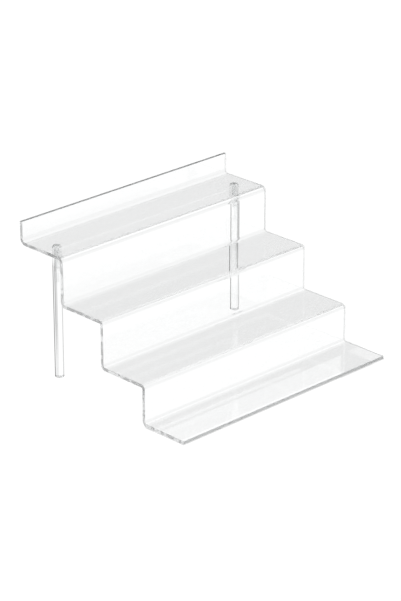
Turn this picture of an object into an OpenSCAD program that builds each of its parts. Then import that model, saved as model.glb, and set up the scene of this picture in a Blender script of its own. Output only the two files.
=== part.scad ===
// Stepped display riser for a vanity: one clear sheet, bent into four tiers and
// a back lip, standing on its front tier and on two round legs that are screwed
// up under the top tier.
//
// Frame: +X runs along the tiers, +Y to the back, +Z up. The origin lies on the
// table, at the middle of the footprint. All sizes are in millimetres.

/* [Sheet] */
// Length of the tiers, end to end
tier_length = 300; // [200:1:400]
// Thickness of the sheet
sheet_t = 3.7; // [3.4:0.1:5]
// Height of the lip above the top tier
lip_rise = 22.6; // [14:0.1:40]

/* [Tiers] */
// Depth of the front tier, front edge to first riser
depth_1 = 56.9; // [40:0.1:90]
// Depth of the second tier, riser to riser
depth_2 = 62.3; // [40:0.1:90]
// Depth of the third tier, riser to riser
depth_3 = 60.9; // [40:0.1:90]
// Depth of the top tier, riser to lip
depth_4 = 62.5; // [44:0.1:90]
// Step up from the front tier to the second tier, top to top
rise_1 = 42.8; // [25:0.1:70]
// Step up from the second tier to the third tier
rise_2 = 51.4; // [25:0.1:70]
// Step up from the third tier to the top tier
rise_3 = 52.4; // [25:0.1:70]

/* [Bends] */
// Inner radius where a tier turns up into the riser behind it
bend_up_r = 2.2; // [1:0.1:6]
// Inner radius where a riser turns back into the tier above it
bend_back_r = 1.4; // [1:0.1:6]
// Inner radius at the front of the top tier
top_front_r = 2.6; // [1:0.1:6]
// Inner radius where the top tier turns up into the lip
lip_r = 4; // [1:0.1:8]

/* [Legs] */
// Diameter of each leg
leg_d = 10; // [8:0.5:16]
// Distance from the end of the sheet to the axis of a leg
leg_inset = 19.4; // [10:0.1:60]
// Distance from the top tier's riser to the axis of a leg
leg_back = 30.7; // [16:0.1:36]
// Chamfer round both ends of a leg
leg_chamfer = 0.4; // [0.1:0.1:1]
// Depth of the threaded hole in the top of a leg
thread_depth = 24; // [22:0.5:40]
// Depth of the narrower pilot hole below the thread
pilot_depth = 36.5; // [30:0.5:60]
// Diameter of the pilot hole
pilot_d = 3.3; // [2:0.1:3.8]

/* [Screws] */
// Outer diameter of the screw's thread
screw_d = 3.9; // [3.8:0.1:4.4]
// Overall length of the countersunk screw
screw_len = 25; // [16:1:25]
// Diameter of the screw's head
head_d = 7.5; // [7.4:0.1:8]
// Height of the straight rim round the head
head_rim = 0.35; // [0.3:0.05:0.5]
// How far the head lies below the tier's surface
head_sink = 0.1; // [0:0.05:0.3]
// Span of the cross recess
recess_span = 4; // [3:0.1:4.2]
// Width of each arm of the cross recess
recess_w = 1; // [0.6:0.1:1.2]
// Depth of the cross recess
recess_depth = 1.7; // [1:0.1:1.8]
// Play round the screw in the sheet, on the diameter
hole_play = 0.4; // [0.2:0.1:0.8]
// Play round the screw in the leg's thread, on the diameter
thread_play = 0.1; // [0.04:0.02:0.2]

/* [Hidden] */

$fn = 96;
eps = 0.01;
t = sheet_t;

// front faces of the four uprights, measured from the front edge
y_up = [depth_1,
        depth_1 + depth_2,
        depth_1 + depth_2 + depth_3,
        depth_1 + depth_2 + depth_3 + depth_4];
// top faces of the four tiers, and the lip's top edge
z_top = [t,
         t + rise_1,
         t + rise_1 + rise_2,
         t + rise_1 + rise_2 + rise_3];
z_lip = z_top[3] + lip_rise;

// inner radius of each bend: at the back of a tier, and at its front
r_back = [bend_up_r, bend_up_r, bend_up_r, lip_r];
r_front = [0, bend_back_r, bend_back_r, top_front_r];

total_depth = y_up[3] + t;
y0 = -total_depth / 2;

leg_x = tier_length / 2 - leg_inset;
leg_y = y0 + y_up[2] + leg_back;
leg_len = z_top[3] - t;

head_cone = (head_d - screw_d) / 2;
hole_d = screw_d + hole_play;
thread_d = screw_d + thread_play;
// the countersink's cone is the head's own cone, carried up to the surface
sink_d = head_d + 2 * (head_rim + head_sink);
pilot_tip = pilot_d / 2 / tan(59);

clear_acrylic = [0.80, 0.88, 0.92, 0.35];
clear_rod = [0.72, 0.82, 0.88, 0.55];
clear_screw = [0.60, 0.66, 0.72, 0.8];

// quarter of a ring about c, in the section's plane: sy and sz pick the quarter
module quarter_ring(c, ri, sy, sz) {
    ro = ri + t;
    intersection() {
        difference() {
            translate(c) circle(r = ro);
            translate(c) circle(r = ri);
        }
        translate([sy > 0 ? c[0] : c[0] - ro, sz > 0 ? c[1] : c[1] - ro])
            square([ro, ro]);
    }
}

// a tier with the bend behind it: y is the face of the upright it turns into
module tier_section(i) {
    z = z_top[i];
    ya = i == 0 ? 0 : y_up[i - 1] + r_front[i] + t;
    yb = y_up[i] - r_back[i];
    translate([ya, z - t]) square([yb - ya, t]);
    quarter_ring([yb, z + r_back[i]], r_back[i], 1, -1);
}

// an upright with the bend on top of it; the last one is the lip, with a plain edge
module upright_section(i) {
    y = y_up[i];
    za = z_top[i] + r_back[i];
    last = i == 3;
    zb = last ? z_lip : z_top[i + 1] - r_front[i + 1] - t;
    translate([y, za]) square([t, zb - za]);
    if (!last)
        quarter_ring([y + r_front[i + 1] + t, zb], r_front[i + 1], -1, 1);
}

module sheet_section() {
    union() {
        for (i = [0 : 3]) tier_section(i);
        for (i = [0 : 3]) upright_section(i);
    }
}

// clearance hole and countersink, with the tier's top face at z = 0
module countersunk_hole() {
    translate([0, 0, -t - 1]) cylinder(d = hole_d, h = t + 2);
    sink_h = (sink_d - hole_d) / 2;
    translate([0, 0, -sink_h])
        cylinder(d1 = hole_d, d2 = sink_d, h = sink_h);
    cylinder(d = sink_d, h = 1);
}

module stepped_sheet() {
    color(clear_acrylic)
    difference() {
        translate([-tier_length / 2, y0, 0])
            rotate([90, 0, 90])
                linear_extrude(height = tier_length)
                    sheet_section();
        for (s = [-1, 1])
            translate([s * leg_x, leg_y, z_top[3]]) countersunk_hole();
    }
}

// round leg standing on the table, with its threaded blind hole at the top
module leg() {
    c = leg_chamfer;
    difference() {
        union() {
            cylinder(d1 = leg_d - 2 * c, d2 = leg_d, h = c);
            translate([0, 0, c]) cylinder(d = leg_d, h = leg_len - 2 * c);
            translate([0, 0, leg_len - c])
                cylinder(d1 = leg_d, d2 = leg_d - 2 * c, h = c);
        }
        translate([0, 0, leg_len - thread_depth])
            cylinder(d = thread_d, h = thread_depth + 1);
        translate([0, 0, leg_len - pilot_depth])
            cylinder(d = pilot_d, h = pilot_depth);
        translate([0, 0, leg_len - pilot_depth - pilot_tip])
            cylinder(d1 = 0, d2 = pilot_d, h = pilot_tip);
    }
}

module left_leg() {
    color(clear_rod) translate([-leg_x, leg_y, 0]) leg();
}

module right_leg() {
    color(clear_rod) translate([leg_x, leg_y, 0]) leg();
}

// countersunk screw, its head's flat face at z = 0 and its tip pointing down
module screw() {
    tip = 0.6;
    difference() {
        union() {
            translate([0, 0, -head_rim]) cylinder(d = head_d, h = head_rim);
            translate([0, 0, -head_rim - head_cone])
                cylinder(d1 = screw_d, d2 = head_d, h = head_cone);
            translate([0, 0, -screw_len + tip])
                cylinder(d = screw_d, h = screw_len - tip - head_rim - head_cone);
            translate([0, 0, -screw_len])
                cylinder(d1 = screw_d - 2 * tip, d2 = screw_d, h = tip);
        }
        for (a = [0, 90])
            rotate([0, 0, a])
                translate([-recess_span / 2, -recess_w / 2, -recess_depth])
                    cube([recess_span, recess_w, recess_depth + 1]);
    }
}

module leg_screws() {
    color(clear_screw)
    for (s = [-1, 1])
        translate([s * leg_x, leg_y, z_top[3] - head_sink])
            rotate([0, 0, 20]) screw();
}

stepped_sheet();
left_leg();
right_leg();
leg_screws();
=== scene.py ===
import math

import bmesh
import bpy
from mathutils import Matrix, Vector


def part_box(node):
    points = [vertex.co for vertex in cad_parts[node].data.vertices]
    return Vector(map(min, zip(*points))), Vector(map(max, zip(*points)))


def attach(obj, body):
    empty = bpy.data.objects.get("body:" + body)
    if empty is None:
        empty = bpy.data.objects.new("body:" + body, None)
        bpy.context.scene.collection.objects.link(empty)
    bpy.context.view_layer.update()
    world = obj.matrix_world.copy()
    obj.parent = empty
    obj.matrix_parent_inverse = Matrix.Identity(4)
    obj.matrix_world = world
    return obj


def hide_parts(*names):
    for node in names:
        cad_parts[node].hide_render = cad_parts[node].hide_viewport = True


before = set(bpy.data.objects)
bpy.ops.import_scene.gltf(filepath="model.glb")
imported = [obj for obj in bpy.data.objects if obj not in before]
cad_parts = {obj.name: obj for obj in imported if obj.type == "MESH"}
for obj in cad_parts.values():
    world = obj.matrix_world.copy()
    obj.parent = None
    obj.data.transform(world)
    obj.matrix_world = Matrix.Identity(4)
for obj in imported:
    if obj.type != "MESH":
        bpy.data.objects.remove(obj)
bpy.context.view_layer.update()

MM = 0.001
scene = bpy.context.scene


# ---------------------------------------------------------------- sizes (mm)
def node_box(name):
    lo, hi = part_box(name)
    return lo / MM, hi / MM


sheet_lo, sheet_hi = node_box("stepped_sheet")
HALF = sheet_hi.x                       # half the tiers' length
Y0 = sheet_lo.y                         # front edge
T = 3.7                                 # sheet thickness
Y_UP = [Y0 + d for d in (56.9, 119.2, 180.1, 242.6)]     # front faces of risers and lip
Z_TOP = [T, T + 42.8, T + 94.2, T + 146.6]               # top faces of the tiers
Z_LIP = sheet_hi.z
R_BACK = [2.2, 2.2, 2.2, 4.0]           # inner radii where tiers turn up
R_FRONT = [0, 1.4, 1.4, 2.6]            # inner radii where risers turn back
EDGE_R = 0.30                           # rounding of the sheet's cut edges, in section
END_R = 0.25                            # rounding of the two long end faces
SHADE_BACK_DEG = 50                          # part of the outer skin tinted darker as painted shade, in degrees of bend
SHADE_FRONT_DEG = (140, 176)
HEAD_R, SHANK_R = 3.75, 1.95            # screw
SCREW_LEN, HEAD_RIM, HEAD_SINK = 25.0, 0.35, 0.1
SINK_R, HOLE_R = 4.2, 2.15              # countersink and clearance hole
THREAD_R, THREAD_DEPTH = 2.0, 24.0      # tapped hole
PILOT_R, PILOT_DEPTH = 1.65, 36.5
PITCH = 0.7

leg_boxes = {n: node_box(n) for n in ("left_leg", "right_leg")}
LEG_AXES = {n: ((lo.x + hi.x) / 2, (lo.y + hi.y) / 2) for n, (lo, hi) in leg_boxes.items()}
LEG_R = (leg_boxes["left_leg"][1].x - leg_boxes["left_leg"][0].x) / 2
LEG_TOP = leg_boxes["left_leg"][1].z

# ---------------------------------------------------------------- camera
cam_data = bpy.data.cameras.new("camera")
cam_data.lens = 156.42
cam_data.sensor_width = 36.0
cam_data.sensor_fit = "AUTO"
cam_data.clip_start, cam_data.clip_end = 0.05, 100.0
cam = bpy.data.objects.new("camera", cam_data)
scene.collection.objects.link(cam)
cam.location = (-1.78495, -1.82791, 1.17268)
_a, _e = math.radians(44.215), math.radians(23.241)
look = Vector((math.sin(_a) * math.cos(_e), math.cos(_a) * math.cos(_e), -math.sin(_e)))
cam.rotation_mode = "QUATERNION"
cam.rotation_quaternion = look.to_track_quat("-Z", "Y")
scene.camera = cam


# ---------------------------------------------------------------- small mesh kit
def finish_mesh(name, verts, faces, normals=None, sharp=None):
    """Makes the object; verts in mm. normals: one per vertex, or sharp: an angle in degrees."""
    me = bpy.data.meshes.new(name)
    me.from_pydata([(x * MM, y * MM, z * MM) for x, y, z in verts], [], faces)
    me.validate(verbose=False)
    me.update()
    for p in me.polygons:
        p.use_smooth = True
    if sharp is not None:
        me.set_sharp_from_angle(angle=math.radians(sharp))
    if normals is not None:
        me.normals_split_custom_set_from_vertices([tuple(n) for n in normals])
    ob = bpy.data.objects.new(name, me)
    scene.collection.objects.link(ob)
    return ob


def orient(faces, verts):
    """Turns a closed shell's faces outward."""
    vol = 0.0
    for f in faces:
        a = Vector(verts[f[0]])
        for i in range(1, len(f) - 1):
            vol += a.dot(Vector(verts[f[i]]).cross(Vector(verts[f[i + 1]])))
    return [tuple(reversed(f)) for f in faces] if vol < 0 else faces


# ---------------------------------------------------------------- the bent sheet
ARC_STEP = math.radians(2.5)


def rail():
    """Pairs of points along the sheet's section: (upper side, lower side, normal of the upper side)."""
    out = []

    def straight(p, n, q=None):
        out.append((p, (p[0] - n[0] * T, p[1] - n[1] * T), n))

    def bend(c, r_up, a0, a1, hollow):
        # hollow: the upper side is the inner one
        k = max(6, int(round(abs(a1 - a0) / ARC_STEP)))
        for i in range(k + 1):
            a = a0 + (a1 - a0) * i / k
            d = (math.cos(a), math.sin(a))
            if hollow:
                up = (c[0] + d[0] * r_up, c[1] + d[1] * r_up)
                lo = (c[0] + d[0] * (r_up + T), c[1] + d[1] * (r_up + T))
                n = (-d[0], -d[1])
            else:
                up = (c[0] + d[0] * (r_up + T), c[1] + d[1] * (r_up + T))
                lo = (c[0] + d[0] * r_up, c[1] + d[1] * r_up)
                n = d
            out.append((up, lo, n))

    for i in range(4):
        z, y = Z_TOP[i], Y_UP[i]
        rb = R_BACK[i]
        if i == 0:
            straight((Y0, z), (0.0, 1.0))
        else:
            rf = R_FRONT[i]
            # riser below turns back into this tier, over its front
            bend((Y_UP[i - 1] + rf + T, z - rf - T), rf, math.pi, math.pi / 2, False)
        bend((y - rb, z + rb), rb, -math.pi / 2, 0.0, True)
    straight((Y_UP[3], Z_LIP), (-1.0, 0.0))
    return out


def outline():
    """Closed outline of the section as (y, z, ny, nz, key), with the four cut corners rounded."""
    pairs = rail()
    k = 4
    pts = []

    def corner(c, a0, a1):
        for i in range(k + 1):
            a = a0 + (a1 - a0) * i / k
            d = (math.cos(a), math.sin(a))
            pts.append((c[0] + d[0] * EDGE_R, c[1] + d[1] * EDGE_R, d[0], d[1], None))

    # front edge, from its lower corner up to its upper one
    (uy, uz), (ly, lz), n = pairs[0]
    corner((ly + EDGE_R, lz + EDGE_R), -math.pi / 2, -math.pi)
    corner((uy + EDGE_R, uz - EDGE_R), math.pi, math.pi / 2)
    for i in range(1, len(pairs) - 1):
        (y, z), _, n = pairs[i]
        pts.append((y, z, n[0], n[1], ("u", i)))
    (uy, uz), (ly, lz), n = pairs[-1]
    corner((uy + EDGE_R, uz - EDGE_R), math.pi, math.pi / 2)
    corner((ly - EDGE_R, lz - EDGE_R), math.pi / 2, 0.0)
    for i in range(len(pairs) - 2, 0, -1):
        _, (y, z), n = pairs[i]
        pts.append((y, z, -n[0], -n[1], ("l", i)))
    return pts


def in_bend_shade_band(c):
    """True on the stretched outer skin of a bend, on the riser's side, which is tinted darker as painted shade of the
    bend's dark band.
    """
    for i in range(4):
        r = R_BACK[i] + T
        dy, dz = c.y - (Y_UP[i] - R_BACK[i]), c.z - (Z_TOP[i] + R_BACK[i])
        if abs(math.hypot(dy, dz) - r) < 0.1 and -SHADE_BACK_DEG < math.degrees(math.atan2(dz, dy)) < 0:
            return True
        if i:
            r = R_FRONT[i] + T
            dy, dz = c.y - (Y_UP[i - 1] + r), c.z - (Z_TOP[i] - r)
            a = math.degrees(math.atan2(dz, dy))
            if abs(math.hypot(dy, dz) - r) < 0.1 and SHADE_FRONT_DEG[0] < a < SHADE_FRONT_DEG[1]:
                return True
    return False


def in_faint_bend_shade(c):
    """True on the rest of the outer skin of the two upper bends that turn up, where a fainter painted shade carries
    on.
    """
    for i in (2, 3):
        dy, dz = c.y - (Y_UP[i] - R_BACK[i]), c.z - (Z_TOP[i] + R_BACK[i])
        if abs(math.hypot(dy, dz) - R_BACK[i] - T) < 0.1 and -88 < math.degrees(math.atan2(dz, dy)) <= -SHADE_BACK_DEG:
            return True
    return False


def build_sheet():
    pts = outline()
    leg_y = LEG_AXES["left_leg"][1]
    # a point on each side of the top tier, level with the holes
    flat = []
    for j, p in enumerate(pts):
        q = pts[(j + 1) % len(pts)]
        level = abs(p[1] - q[1]) < 1e-6 and abs(p[3]) > 0.99 and abs(q[3]) > 0.99
        if level and min(p[0], q[0]) < leg_y < max(p[0], q[0]) and p[1] > 100:
            flat.append(j)
    assert len(flat) == 2
    for j in sorted(flat, reverse=True):
        p = pts[j]
        pts.insert(j + 1, (leg_y, p[1], 0.0, p[3], "mid"))
    n = len(pts)
    mids = [j for j, p in enumerate(pts) if p[4] == "mid"]

    # stations along X: the rounded ends, and the edges of the patches round the holes
    rows = []          # (x, inset, cos, sin)
    K = 5
    for i in range(K + 1):
        a = math.pi / 2 * (1 - i / K)
        rows.append((-HALF + END_R - END_R * math.sin(a), END_R * (1 - math.cos(a)), math.cos(a), -math.sin(a)))
    lx = abs(LEG_AXES["left_leg"][0])
    cuts = [-lx - 9, -lx + 9]
    inner = []
    m = 24
    for i in range(1, m):
        inner.append(-lx + 9 + (2 * lx - 18) * i / m)
    for x in cuts + inner + [lx - 9, lx + 9]:
        rows.append((x, 0.0, 1.0, 0.0))
    for i in range(K, -1, -1):
        a = math.pi / 2 * (1 - i / K)
        rows.append((HALF - END_R + END_R * math.sin(a), END_R * (1 - math.cos(a)), math.cos(a), math.sin(a)))

    verts, normals = [], []
    for x, inset, c, s in rows:
        for y, z, ny, nz, _ in pts:
            verts.append((x, y - ny * inset, z - nz * inset))
            normals.append((s, ny * c, nz * c))

    def vid(r, j):
        return r * n + (j % n)

    faces = []
    patch_rows = {}
    for r in range(len(rows) - 1):
        xa, xb = rows[r][0], rows[r + 1][0]
        hole = None
        for name, (cx, cy) in LEG_AXES.items():
            if xa < cx < xb:
                hole = name
        for j in range(n):
            if hole and (j in mids or (j + 1) % n in mids):
                continue
            faces.append((vid(r, j), vid(r, j + 1), vid(r + 1, j + 1), vid(r + 1, j)))
        if hole:
            patch_rows[hole] = r

    # end caps: quads between the two sides, one face at each cut edge
    for r, flip in ((0, False), (len(rows) - 1, True)):
        upper = [j for j in range(n) if pts[j][4] == "mid" and pts[j][3] > 0 or (isinstance(pts[j][4], tuple) and pts[j][4][0] == "u")]
        lower = [j for j in range(n) if pts[j][4] == "mid" and pts[j][3] < 0 or (isinstance(pts[j][4], tuple) and pts[j][4][0] == "l")]
        lower = list(reversed(lower))
        assert len(upper) == len(lower)
        cap = []
        for a in range(len(upper) - 1):
            cap.append((vid(r, upper[a]), vid(r, upper[a + 1]), vid(r, lower[a + 1]), vid(r, lower[a])))
        # front block: the ten corner points and the first pair
        cap.append(tuple([vid(r, j) for j in range(0, 10)] + [vid(r, upper[0]), vid(r, lower[0])]))
        last_u, last_l = upper[-1], lower[-1]
        cap.append(tuple(vid(r, j) for j in range(last_u, last_l + 1)))
        # one winding for all of a cap's faces, matching the sweep
        for f in cap:
            p = [Vector(verts[i]) for i in f]
            nrm = Vector((0, 0, 0))
            for i in range(len(p)):
                nrm += p[i].cross(p[(i + 1) % len(p)])
            want = 1 if flip else -1
            faces.append(f if nrm.x * want > 0 else tuple(reversed(f)))

    # holes: rings of points, from the top face down to the underside
    N = 64
    zt, zb = Z_TOP[3], Z_TOP[3] - T

    def arc2(p, n0, n1, rho, k=3):
        """Rounds the corner p of a (r, z) profile, whose faces have the outward normals n0 and n1."""
        a0, a1 = math.atan2(n0[1], n0[0]), math.atan2(n1[1], n1[0])
        while a1 - a0 > math.pi:
            a1 -= 2 * math.pi
        while a1 - a0 < -math.pi:
            a1 += 2 * math.pi
        half = abs(a1 - a0) / 2
        mid = (a0 + a1) / 2
        cx, cz = p[0] - rho / math.cos(half) * math.cos(mid), p[1] - rho / math.cos(half) * math.sin(mid)
        return [(cx + rho * math.cos(a0 + (a1 - a0) * i / k), cz + rho * math.sin(a0 + (a1 - a0) * i / k),
                 math.cos(a0 + (a1 - a0) * i / k), math.sin(a0 + (a1 - a0) * i / k)) for i in range(k + 1)]

    s = math.sqrt(0.5)
    z_neck = zt - (SINK_R - HOLE_R)
    prof = (arc2((SINK_R, zt), (0, 1), (-s, s), 0.14)
            + arc2((HOLE_R, z_neck), (-s, s), (-1, 0), 0.12)
            + arc2((HOLE_R, zb), (-1, 0), (0, -1), 0.12))
    for name, (cx, cy) in LEG_AXES.items():
        r = patch_rows[name]
        first = len(verts)
        for pr, pz, nr, nz in prof:
            for i in range(N):
                a = 2 * math.pi * i / N
                verts.append((cx + pr * math.cos(a), cy + pr * math.sin(a), pz))
                normals.append((nr * math.cos(a), nr * math.sin(a), nz))
        for q in range(len(prof) - 1):
            for i in range(N):
                a, b = first + q * N + i, first + q * N + (i + 1) % N
                faces.append((a, b, b + N, a + N))
        rings = {1: first, -1: first + (len(prof) - 1) * N}
        for j in mids:
            up = 1 if pts[j][3] > 0 else -1
            ring = rings[up]
            prev_j, next_j = (j - 1) % n, (j + 1) % n
            for side in (prev_j, next_j):
                # half plate on this side of the line through the hole's centre
                back = pts[side][0] > cy
                if back:   # upper half circle, from the left point to the right point
                    arc = [ring + (N // 2 - i) % N for i in range(N // 2 + 1)]
                else:
                    arc = [ring + (N // 2 + i) % N for i in range(N // 2 + 1)]
                f = [vid(r, j)] + arc + [vid(r + 1, j), vid(r + 1, side), vid(r, side)]
                p = [Vector(verts[i]) for i in f]
                nrm = Vector((0, 0, 0))
                for i in range(len(p)):
                    nrm += p[i].cross(p[(i + 1) % len(p)])
                faces.append(tuple(f) if nrm.z * up > 0 else tuple(reversed(f)))
    # hole walls and sweep: make the windings agree with the normals
    fixed = []
    for f in faces:
        p = [Vector(verts[i]) for i in f]
        nrm = Vector((0, 0, 0))
        for i in range(len(p)):
            nrm += p[i].cross(p[(i + 1) % len(p)])
        want = Vector((0, 0, 0))
        for i in f:
            want += Vector(normals[i])
        fixed.append(f if nrm.dot(want) >= 0 else tuple(reversed(f)))
    ob = finish_mesh("sheet_bent", verts, fixed, normals=normals)
    for p in ob.data.polygons:
        c, nrm = p.center / MM, p.normal
        end = abs(nrm.x) > 0.6 and abs(c.x) > HALF - 1
        edge = nrm.y < -0.6 and c.y < Y0 + 0.5 or nrm.z > 0.6 and c.z > Z_LIP - 0.5
        hole = c.z < zt - 0.1 and c.z > zb + 0.1 and any(
            math.hypot(c.x - cx, c.y - cy) < SINK_R + 0.3 for cx, cy in LEG_AXES.values())
        if HALF - END_R < c.x < HALF - 0.0001:
            p.material_index = 4            # the far end's rounded rims, near black as painted shade
        elif end and c.x < 0:
            p.material_index = 2
        elif edge and c.z > zt:
            p.material_index = 4
        elif end:
            p.material_index = 5
        elif edge or hole:
            p.material_index = 1
        # the bends' outer skins get darker tints: painted shade of the dark bands along the bends
        elif in_bend_shade_band(c):
            p.material_index = 3
        elif in_faint_bend_shade(c):
            p.material_index = 6
    return ob


# ---------------------------------------------------------------- legs
def lathe(profile, n, cx, cy, closed_start=True, closed_end=True, wobble=None):
    """Turns (r, z) points about the axis. The first and last may lie on the axis."""
    verts, faces = [], []
    rings = []
    for k, (r, z) in enumerate(profile):
        if r == 0:
            rings.append([len(verts)])
            verts.append((cx, cy, z))
        else:
            row = []
            for i in range(n):
                a = 2 * math.pi * i / n
                rr = r if wobble is None else wobble(k, a, r, z)
                row.append(len(verts))
                verts.append((cx + rr * math.cos(a), cy + rr * math.sin(a), z))
            rings.append(row)
    for a, b in zip(rings, rings[1:]):
        for i in range(n):
            p, q = a[i % len(a)], a[(i + 1) % len(a)]
            s, t = b[i % len(b)], b[(i + 1) % len(b)]
            if len(a) == 1:
                faces.append((p, t, s))
            elif len(b) == 1:
                faces.append((p, q, s))
            else:
                faces.append((p, q, t, s))
    return verts, faces


def tri_wave(x):
    """Rounded thread form, 0 at the root and 1 at the crest."""
    x = x - math.floor(x)
    v = 1 - abs(2 * x - 1)          # 0..1..0
    return min(1.0, max(0.0, (v - 0.14) / 0.72))


def leg_profile():
    """(r, z, thread share) from the middle of the foot, up the outside and down the hole."""
    c = 0.4
    top = LEG_TOP - 0.03
    prof = [(0, 0.0), (2.4, 0.0), (LEG_R - c - 0.12, 0.0), (LEG_R - c, 0.02), (LEG_R - 0.1, c - 0.12),
            (LEG_R - 0.02, c + 0.02), (LEG_R, c + 0.12)]
    for i in range(1, 12):
        prof.append((LEG_R, c + 0.12 + (top - 2 * c - 0.24) * i / 12))
    prof += [(LEG_R, top - c - 0.12), (LEG_R - 0.02, top - c - 0.02), (LEG_R - 0.1, top - c + 0.12),
             (LEG_R - c, top - 0.02), (LEG_R - c - 0.12, top), (3.2, top), (2.42, top), (2.34, top - 0.03)]
    outer = len(prof)
    # threaded length
    z1, z0 = top - 0.35, LEG_TOP - THREAD_DEPTH
    rows = int((z1 - z0) / (PITCH / 10))
    thread = []
    for i in range(rows + 1):
        thread.append((THREAD_R, z1 - (z1 - z0) * i / rows))
    prof += thread
    prof += [(PILOT_R + 0.03, z0 - 0.06), (PILOT_R, z0 - 0.14)]
    zp = LEG_TOP - PILOT_DEPTH
    for i in range(1, 5):
        prof.append((PILOT_R, z0 - 0.14 + (zp - z0 + 0.14) * i / 4))
    tip = PILOT_R / math.tan(math.radians(59))
    for f in (0.85, 0.5, 0.2):
        prof.append((PILOT_R * f, zp - tip * (1 - f)))
    prof.append((0, zp - tip))
    return prof, outer, outer + rows, z0, z1


def build_leg(name):
    cx, cy = LEG_AXES[name]
    prof, a, b, z0, z1 = leg_profile()

    def wobble(k, ang, r, z):
        if k < a or k > b:
            return r
        fade = min(1.0, (z1 - z) / 0.5, (z - z0) / 1.2)
        fade = max(0.0, fade)
        ph = (z - PITCH * ang / (2 * math.pi)) / PITCH
        w = tri_wave(ph)
        # root of the tapped thread at the nominal radius, crest 0.1 mm inside it
        full = THREAD_R - 0.10 * w
        rest = THREAD_R - 0.05 + (0.03 if z > (z0 + z1) / 2 else -0.03)
        return rest + (full - rest) * fade

    verts, faces = lathe(prof, 96, cx, cy, wobble=wobble)
    faces = orient(faces, verts)
    ob = finish_mesh(name + "_rod", verts, faces, sharp=34)
    for p in ob.data.polygons:
        c, nrm = p.center / MM, p.normal
        rad = math.hypot(c.x - cx, c.y - cy)
        if rad > 4 and (c.z < 0.6 or c.z > LEG_TOP - 0.6):
            p.material_index = 2
        if nrm.z < -0.5 and c.z < 0.5:
            p.material_index = 3
        elif abs(nrm.z) > 0.95 and (c.z < 0.1 or c.z > LEG_TOP - 0.2) or rad < THREAD_R + 0.05 and c.z > LEG_TOP - PILOT_DEPTH - 2:
            p.material_index = 1
    return ob


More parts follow.
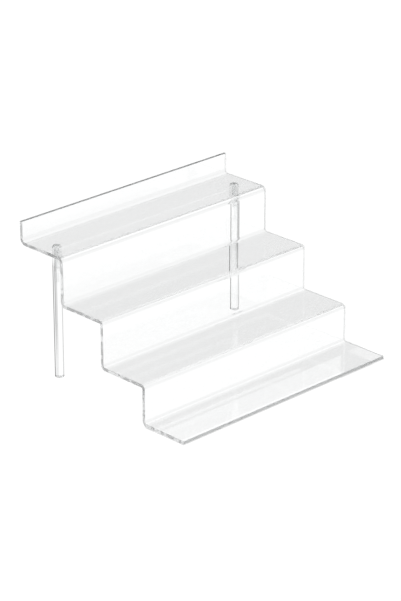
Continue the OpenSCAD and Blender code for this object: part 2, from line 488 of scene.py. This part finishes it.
# ---------------------------------------------------------------- screws
def build_screw(name, cx, cy):
    zt = LEG_TOP + T - HEAD_SINK               # head's flat face
    N = 64
    gap = 0.04
    verts, faces = [], []

    def ring(r, z, rot=0.0):
        row = []
        for i in range(N):
            a = 2 * math.pi * i / N
            row.append(len(verts))
            verts.append((cx + r * math.cos(a), cy + r * math.sin(a), z))
        return row

    rows = []
    hr = HEAD_R - gap
    rows.append(ring(hr - 0.16, zt))
    rows.append(ring(hr - 0.05, zt - 0.04))
    rows.append(ring(hr, zt - 0.14))
    rows.append(ring(hr, zt - HEAD_RIM))
    cone_end = zt - HEAD_RIM - (HEAD_R - SHANK_R)
    rows.append(ring(SHANK_R - gap, cone_end))
    rows.append(ring(SHANK_R - 0.1, cone_end - 0.25))
    z1, z0 = cone_end - 0.6, zt - SCREW_LEN + 0.9
    k = int((z1 - z0) / (PITCH / 10))
    core, major = SHANK_R - 0.14, SHANK_R - 0.02
    for i in range(k + 1):
        z = z1 - (z1 - z0) * i / k
        row = []
        for q in range(N):
            a = 2 * math.pi * q / N
            ph = (z - PITCH * a / (2 * math.pi)) / PITCH
            # the screw's crests lie in the nut thread's roots
            w = 1 - tri_wave(ph)
            fade = max(0.0, min(1.0, (z1 - z) / 0.8, (z - z0) / 0.9))
            rest = SHANK_R - 0.12 if z > (z0 + z1) / 2 else core
            full = core + (major - core) * w
            r = rest + (full - rest) * fade
            row.append(len(verts))
            verts.append((cx + r * math.cos(a), cy + r * math.sin(a), z))
        rows.append(row)
    rows.append(ring(core - 0.02, z0 - 0.3))
    rows.append(ring(core - 0.12, zt - SCREW_LEN + 0.12))
    rows.append(ring(core - 0.26, zt - SCREW_LEN + 0.02))
    rows.append(ring(core - 0.5, zt - SCREW_LEN))
    for a, b in zip(rows, rows[1:]):
        for i in range(N):
            faces.append((a[i], a[(i + 1) % N], b[(i + 1) % N], b[i]))
    last = rows[-1]
    mid = len(verts)
    verts.append((cx, cy, zt - SCREW_LEN))
    for i in range(N):
        faces.append((last[i], last[(i + 1) % N], mid))

    # cross recess, tapered, turned by 20 degrees
    span, w, depth = 4.0, 1.0, 1.7
    turn = math.radians(20)

    def cross(span, w, z, n_in=2):
        h, q = span / 2, w / 2
        base = [(h, -q), (h, q), (q, q), (q, h), (-q, h), (-q, q), (-h, q), (-h, -q), (-q, -q), (-q, -h), (q, -h), (q, -q)]
        # chamfered corners: two points for each
        out = []
        m = len(base)
        for i in range(m):
            p, a, b = base[i], base[i - 1], base[(i + 1) % m]
            f = min(0.16, w * 0.22)
            va = Vector((a[0] - p[0], a[1] - p[1]))
            vb = Vector((b[0] - p[0], b[1] - p[1]))
            va.normalize()
            vb.normalize()
            pa = (p[0] + va.x * f, p[1] + va.y * f)
            pb = (p[0] + vb.x * f, p[1] + vb.y * f)
            mm = (p[0] + (va.x + vb.x) * f * 0.3, p[1] + (va.y + vb.y) * f * 0.3)
            out += [pa, mm, pb]
        row = []
        for x, y in out:
            row.append(len(verts))
            verts.append((cx + x * math.cos(turn) - y * math.sin(turn), cy + x * math.sin(turn) + y * math.cos(turn), z))
        return row

    crosses = [cross(span + 0.1, w + 0.1, zt), cross(span, w, zt - 0.06), cross(span * 0.72, w * 0.8, zt - depth * 0.62),
               cross(span * 0.42, w * 0.62, zt - depth)]
    M = len(crosses[0])
    for a, b in zip(crosses, crosses[1:]):
        for i in range(M):
            faces.append((a[(i + 1) % M], a[i], b[i], b[(i + 1) % M]))
    bottom = crosses[-1]
    mid = len(verts)
    verts.append((cx, cy, zt - depth - 0.18))
    for i in range(M):
        faces.append((bottom[i], mid, bottom[(i + 1) % M]))
    # head's face: two halves between the rim and the cross
    top = rows[0]
    ring0 = crosses[0]
    # the cross's points at the tips of two opposite arms
    def nearest(row, ang):
        best, bi = -9, 0
        for i, v in enumerate(row):
            dx, dy = verts[v][0] - cx, verts[v][1] - cy
            d = (dx * math.cos(ang) + dy * math.sin(ang))
            if d > best + 1e-9:
                best, bi = d, i
        return bi
    i0, i1 = nearest(ring0, turn + 0.12), nearest(ring0, turn + math.pi + 0.12)
    t0, t1 = nearest(top, turn + 0.12), nearest(top, turn + math.pi + 0.12)

    def walk(i, j, m):
        out = [i]
        while i != j:
            i = (i + 1) % m
            out.append(i)
        return out

    a_top, a_in = walk(t0, t1, N), walk(i0, i1, M)
    b_top, b_in = walk(t1, t0, N), walk(i1, i0, M)
    for tt, ii in ((a_top, a_in), (b_top, b_in)):
        faces.append(tuple([top[i] for i in tt] + [ring0[i] for i in reversed(ii)]))
    return verts, faces


def consistent(name, verts, faces, sharp):
    """Makes one mesh with outward faces."""
    me = bpy.data.meshes.new(name)
    me.from_pydata([(x * MM, y * MM, z * MM) for x, y, z in verts], [], faces)
    bm = bmesh.new()
    bm.from_mesh(me)
    bmesh.ops.recalc_face_normals(bm, faces=bm.faces)
    bm.to_mesh(me)
    bm.free()
    for p in me.polygons:
        p.use_smooth = True
    me.set_sharp_from_angle(angle=math.radians(sharp))
    ob = bpy.data.objects.new(name, me)
    scene.collection.objects.link(ob)
    return ob


# ---------------------------------------------------------------- materials
def new_material(name):
    m = bpy.data.materials.new(name)
    m.use_nodes = True
    nt = m.node_tree
    nt.nodes.clear()
    out = nt.nodes.new("ShaderNodeOutputMaterial")
    p = nt.nodes.new("ShaderNodeBsdfPrincipled")
    nt.links.new(p.outputs["BSDF"], out.inputs["Surface"])
    return m, nt, p


def coords(nt, scale=(1, 1, 1)):
    tc = nt.nodes.new("ShaderNodeTexCoord")
    mp = nt.nodes.new("ShaderNodeMapping")
    mp.inputs["Scale"].default_value = scale
    nt.links.new(tc.outputs["Object"], mp.inputs["Vector"])
    return mp.outputs["Vector"]


def noise(nt, vec, scale, detail=2.0, rough=0.5):
    t = nt.nodes.new("ShaderNodeTexNoise")
    t.inputs["Scale"].default_value = scale
    t.inputs["Detail"].default_value = detail
    t.inputs["Roughness"].default_value = rough
    nt.links.new(vec, t.inputs["Vector"])
    return t.outputs["Fac"]


def ramp(nt, fac, lo, hi, a, b):
    r = nt.nodes.new("ShaderNodeMapRange")
    r.inputs["From Min"].default_value = lo
    r.inputs["From Max"].default_value = hi
    r.inputs["To Min"].default_value = a
    r.inputs["To Max"].default_value = b
    nt.links.new(fac, r.inputs["Value"])
    return r.outputs["Result"]


def clear_plastic(name, tint, ior, grain=(1, 1, 1), rough=(0.0, 0.004)):
    m, nt, p = new_material(name)
    p.inputs["Base Color"].default_value = (*tint, 1)
    p.inputs["IOR"].default_value = ior
    p.inputs["Transmission Weight"].default_value = 1.0
    p.inputs["Specular IOR Level"].default_value = 0.5
    v = coords(nt, grain)
    n = noise(nt, v, 60.0, 3.0)
    nt.links.new(ramp(nt, n, 0.45, 0.75, *rough), p.inputs["Roughness"])
    return m


def stops(nt, fac, points, interpolation="EASE"):
    """A ramp of greys: (position, value) points."""
    cr = nt.nodes.new("ShaderNodeValToRGB")
    cr.color_ramp.interpolation = interpolation
    el = cr.color_ramp.elements
    for i, (pos, val) in enumerate(points):
        e = el[i] if i < 2 else el.new(pos)
        e.position = pos
        e.color = (val, val, val, 1)
    nt.links.new(fac, cr.inputs["Fac"])
    return cr.outputs["Color"]


def blend(nt, kind, fac, a, b):
    mx = nt.nodes.new("ShaderNodeMix")
    mx.data_type = "RGBA"
    mx.blend_type = kind
    mx.inputs[0].default_value = 1.0
    if fac is not None:
        nt.links.new(fac, mx.inputs[0])
    for v, sock in ((a, mx.inputs[6]), (b, mx.inputs[7])):
        if isinstance(v, tuple):
            sock.default_value = v
        else:
            nt.links.new(v, sock)
    return mx.outputs[2]


def rod_plastic(name, cx, cy, streak_stops, fade):
    """Extruded rod, with painted shade in its colour: darker edge on, more so on one side, and long streaks of painted
    shade, which are stronger in its upper part.
    fade: the heights between which they grow, and their share below."""
    m, nt, p = new_material(name)
    p.inputs["IOR"].default_value = 1.491
    p.inputs["Transmission Weight"].default_value = 1.0
    p.inputs["Specular IOR Level"].default_value = 0.5
    lw = nt.nodes.new("ShaderNodeLayerWeight")
    lw.inputs["Blend"].default_value = 0.5
    # painted shade at the rod's outline, from Layer Weight
    edge = stops(nt, lw.outputs["Facing"], RIM)
    # angle round the rod's axis, as 0 to 1
    tc = nt.nodes.new("ShaderNodeTexCoord")
    mp = nt.nodes.new("ShaderNodeMapping")
    mp.inputs["Location"].default_value = (-cx * MM, -cy * MM, 0)
    nt.links.new(tc.outputs["Object"], mp.inputs["Vector"])
    gr = nt.nodes.new("ShaderNodeTexGradient")
    gr.gradient_type = "RADIAL"
    nt.links.new(mp.outputs["Vector"], gr.inputs["Vector"])
    side = stops(nt, gr.outputs["Fac"], SIDE)
    painted_streaks = stops(nt, gr.outputs["Fac"], streak_stops)
    xyz = nt.nodes.new("ShaderNodeSeparateXYZ")
    nt.links.new(tc.outputs["Object"], xyz.inputs["Vector"])
    upper = ramp(nt, xyz.outputs["Z"], *fade, 1.0)
    rim_color = blend(nt, "MIX", side, (1, 1, 1, 1), edge)
    skin = blend(nt, "MULTIPLY", upper, rim_color, painted_streaks)
    # above 128 to 136 mm the painted shade gives way, by up to six tenths, to clear white
    skin = blend(nt, "MIX", ramp(nt, xyz.outputs["Z"], 0.128, 0.136, 0.0, 0.6), skin, (1, 1, 1, 1))
    nt.links.new(blend(nt, "MULTIPLY", None, skin, (0.985, 0.99, 0.99, 1)), p.inputs["Base Color"])
    n = noise(nt, coords(nt, (1, 1, 0.03)), 60.0, 3.0)
    nt.links.new(ramp(nt, n, 0.45, 0.75, 0.0, 0.004), p.inputs["Roughness"])
    return m


# grey stops of the rods' painted shade: at the outline, on one side of the axis, and as streaks round the axis
RIM = ((0.34, 1.0), (0.56, 0.02))
SIDE = ((0.0, 0.75), (0.12, 0.6), (0.37, 0.75), (0.7, 0.8), (0.877, 1.0))
STREAK_SHADE = {"left_leg": ((0.020, 1.0), (0.030, 0.10), (0.046, 0.10), (0.056, 0.40), (0.115, 0.50), (0.130, 1.0)),
        "right_leg": ((0.190, 1.0), (0.212, 0.32), (0.325, 0.32), (0.35, 1.0))}
FADE = {"left_leg": (0.02, 0.06, 0.5), "right_leg": (0.04, 0.08, 0.25)}


def cut_plastic(name, tint, ior, rough, line, depth, dash=None):
    """A sawn or tapped face: the same plastic, frosted by fine tool marks; a grey tint on it is painted shade.
    dash: the tint, as a share, of patches painted darker as shade, in broken dashes."""
    m, nt, p = new_material(name)
    p.inputs["IOR"].default_value = ior
    p.inputs["Transmission Weight"].default_value = 1.0
    p.inputs["Specular IOR Level"].default_value = 0.5
    v = coords(nt)
    patch = noise(nt, v, 90.0, 3.0, 0.6) if dash is None else noise(nt, v, 150.0, 1.0, 0.5)
    cr = nt.nodes.new("ShaderNodeValToRGB")
    e = cr.color_ramp.elements
    e[0].position, e[0].color = (0.40, (*[c * 0.9 for c in tint], 1)) if dash is None else (0.44, (*[c * dash for c in tint], 1))
    e[1].position, e[1].color = 0.62 if dash is None else 0.54, (*tint, 1)
    nt.links.new(patch, cr.inputs["Fac"])
    nt.links.new(cr.outputs["Color"], p.inputs["Base Color"])
    nt.links.new(ramp(nt, patch, 0.35, 0.65, *rough), p.inputs["Roughness"])
    marks = noise(nt, coords(nt, line), 1.0, 2.0, 0.6)
    bump = nt.nodes.new("ShaderNodeBump")
    bump.inputs["Strength"].default_value = 0.6
    bump.inputs["Distance"].default_value = depth
    nt.links.new(marks, bump.inputs["Height"])
    nt.links.new(bump.outputs["Normal"], p.inputs["Normal"])
    return m


mat_sheet = clear_plastic("acrylic_sheet", (0.985, 0.99, 0.99), 1.491)
# the grey tints of the sawn faces are painted shade: mid grey on the front edge and holes, near black on the lip's top
# edge and the far end's rims, darker dashes on the near end, light grey on the far end
mat_cut = cut_plastic("acrylic_sawn", (0.455, 0.465, 0.465), 1.491, (0.34, 0.5), (2200, 2200, 2200), 0.00002)
mat_end = cut_plastic("acrylic_sawn_end", (0.985, 0.99, 0.99), 1.491, (0.3, 0.5), (2200, 2200, 2200), 0.00002, dash=0.35)
# darker tints for the bends' outer skins: painted shade of the dark bands along the bends
mat_bend_shade = clear_plastic("acrylic_bent", (0.80, 0.805, 0.805), 1.491)
mat_faint_bend_shade = clear_plastic("acrylic_bent_faint", (0.85, 0.855, 0.855), 1.491)
mat_lip = cut_plastic("acrylic_sawn_edge", (0.145, 0.15, 0.15), 1.491, (0.34, 0.5), (2200, 2200, 2200), 0.00002)
mat_far_end = cut_plastic("acrylic_sawn_far_end", (0.92, 0.93, 0.93), 1.491, (0.18, 0.26), (2200, 2200, 2200), 0.00002)
mat_foot = clear_plastic("acrylic_rod_foot", (0.96, 0.965, 0.965), 1.491, rough=(0.5, 0.65))
mat_tapped = cut_plastic("acrylic_tapped", (0.985, 0.99, 0.99), 1.491, (0.12, 0.18), (2500, 2500, 2500), 0.000002)
mat_screw = clear_plastic("clear_nylon", (0.985, 0.99, 0.99), 1.53, rough=(0.08, 0.12))

# ---------------------------------------------------------------- pieces
sheet = build_sheet()
sheet.data.materials.append(mat_sheet)
sheet.data.materials.append(mat_cut)
sheet.data.materials.append(mat_end)
sheet.data.materials.append(mat_bend_shade)
sheet.data.materials.append(mat_lip)
sheet.data.materials.append(mat_far_end)
sheet.data.materials.append(mat_faint_bend_shade)
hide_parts("stepped_sheet")
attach(sheet, "root")

for leg_name in ("left_leg", "right_leg"):
    leg = build_leg(leg_name)
    leg.data.materials.append(rod_plastic("acrylic_rod_" + leg_name[:-4], *LEG_AXES[leg_name],
                                          STREAK_SHADE[leg_name], FADE[leg_name]))
    leg.data.materials.append(mat_tapped)
    leg.data.materials.append(mat_sheet)
    leg.data.materials.append(mat_foot)
    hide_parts(leg_name)
    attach(leg, "root")

for side in ("left", "right"):
    cx, cy = LEG_AXES[side + "_leg"]
    v, f = build_screw(side, cx, cy)
    screw = consistent(side + "_screw", v, f, 34)
    screw.data.materials.append(mat_screw)
    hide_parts("leg_screws")
    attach(screw, "root")

# ---------------------------------------------------------------- floor and light
bm = bmesh.new()
bmesh.ops.create_circle(bm, cap_ends=True, segments=96, radius=14.0)
me = bpy.data.meshes.new("floor")
bm.to_mesh(me)
bm.free()
floor = bpy.data.objects.new("floor", me)
floor.location = (0, 0, -0.0002)
scene.collection.objects.link(floor)
m = bpy.data.materials.new("floor_white")
m.use_nodes = True
nt = m.node_tree
nt.nodes.clear()
out = nt.nodes.new("ShaderNodeOutputMaterial")
em = nt.nodes.new("ShaderNodeEmission")
em.inputs["Color"].default_value = (1, 1, 1, 1)


def math_node(op, *args):
    n = nt.nodes.new("ShaderNodeMath")
    n.operation = op
    for i, v in enumerate(args):
        if isinstance(v, (int, float)):
            n.inputs[i].default_value = v
        else:
            nt.links.new(v, n.inputs[i])
    return n.outputs[0]


def step(v, lo, hi, unit=MM):
    """0 below lo and 1 above hi, soft between them."""
    r = nt.nodes.new("ShaderNodeMapRange")
    r.interpolation_type = "SMOOTHSTEP"
    r.inputs["From Min"].default_value = lo * unit
    r.inputs["From Max"].default_value = hi * unit
    nt.links.new(v, r.inputs["Value"])
    return r.outputs["Result"]


# a pool of stronger light lies under the front tier, which rests on the floor
tc = nt.nodes.new("ShaderNodeTexCoord")
sep = nt.nodes.new("ShaderNodeSeparateXYZ")
nt.links.new(tc.outputs["Object"], sep.inputs["Vector"])
fx, fy = sep.outputs["X"], sep.outputs["Y"]
slant = math_node("MULTIPLY_ADD", fy, -1.076, fx)
main = math_node("MULTIPLY", math_node("SUBTRACT", 1.0, step(fy, -90.0, -86.5)), math_node("SUBTRACT", 1.0, step(slant, 213.5, 216.0)))
strip = math_node("MULTIPLY", math_node("MULTIPLY", step(fy, -87.0, -84.0), math_node("SUBTRACT", 1.0, step(fy, -80.5, -78.5))),
                  math_node("SUBTRACT", 0.8, math_node("MULTIPLY", 0.8, step(fx, 60.0, 66.0))))
side = math_node("MULTIPLY", math_node("MULTIPLY", step(fx, 131.0, 134.0), math_node("SUBTRACT", 1.0, step(fy, -88.0, -84.0))), 0.7)
pool = math_node("MAXIMUM", main, math_node("MAXIMUM", strip, side))
# a contact shadow 2 mm wide runs round the front tier's three free edges
EDGE, END, REACH = -Y0, HALF, 2.0
px, ny = math_node("ABSOLUTE", fx), math_node("MULTIPLY", fy, -1.0)
past_front = math_node("SUBTRACT", 1.0, step(ny, EDGE, EDGE + REACH))
past_end = math_node("SUBTRACT", 1.0, step(px, END, END + REACH))
near = math_node("MULTIPLY", math_node("MULTIPLY", step(ny, EDGE - 0.2, EDGE), past_front), past_end)
ends = math_node("MULTIPLY", math_node("MULTIPLY", step(px, END - 0.2, END), past_end), math_node("MULTIPLY", step(ny, 64.0, 70.0), past_front))
shadow = math_node("MULTIPLY_ADD", math_node("MAXIMUM", near, ends), -0.45, 1.0)
level = math_node("MULTIPLY", shadow, math_node("MULTIPLY_ADD", pool, 0.12, 1.035))
# its image is dark in a second mirror, such as the underside of the next tier up
lp = nt.nodes.new("ShaderNodeLightPath")
outer = math_node("MULTIPLY", lp.outputs["Is Reflection Ray"], math_node("GREATER_THAN", lp.outputs["Glossy Depth"], 1.5))
inner = math_node("MULTIPLY", math_node("COMPARE", lp.outputs["Glossy Depth"], 2.0, 0.5),
                  math_node("GREATER_THAN", lp.outputs["Transmission Depth"], 3.5))
lit = math_node("SUBTRACT", 1.0, math_node("MAXIMUM", outer, inner))
nt.links.new(math_node("MULTIPLY", level, lit), em.inputs["Strength"])
nt.links.new(em.outputs["Emission"], out.inputs["Surface"])
floor.data.materials.append(m)

world = bpy.data.worlds.new("studio")
scene.world = world
world.use_nodes = True
nt = world.node_tree
nt.nodes.clear()
wo = nt.nodes.new("ShaderNodeOutputWorld")
bg = nt.nodes.new("ShaderNodeBackground")
tc = nt.nodes.new("ShaderNodeTexCoord")
sep = nt.nodes.new("ShaderNodeSeparateXYZ")
nt.links.new(tc.outputs["Generated"], sep.inputs["Vector"])
HIGH = ((0.362, 0.30), (0.385, 0.185), (0.405, 0.11), (0.447, 0.11), (0.462, 1.15), (0.80, 1.15), (0.86, 0.25), (1.0, 0.25))
# the room's low band is dark on the far side and grows light towards the near side
dark = stops(nt, sep.outputs["Z"], ((0.0, 1.0), (0.08, 1.0), (0.12, 0.05), (0.30, 0.07)) + HIGH, "LINEAR")
light = stops(nt, sep.outputs["Z"], ((0.0, 1.0), (0.32, 1.0)) + HIGH, "LINEAR")
nt.links.new(blend(nt, "MIX", step(sep.outputs["Y"], -0.5, 0.5, 1.0), light, dark), bg.inputs["Color"])
nt.links.new(bg.outputs["Background"], wo.inputs["Surface"])

# clear plastic needs many passes of light through its walls
scene.cycles.max_bounces = 96
scene.cycles.transmission_bounces = 96
scene.cycles.glossy_bounces = 96
scene.cycles.transparent_max_bounces = 96
scene.cycles.caustics_reflective = True
scene.cycles.caustics_refractive = True
scene.cycles.blur_glossy = 0.0
scene.cycles.sample_clamp_indirect = 0.0
scene.cycles.denoising_input_passes = "RGB"
scene.view_settings.view_transform = "Standard"
scene.view_settings.look = "None"
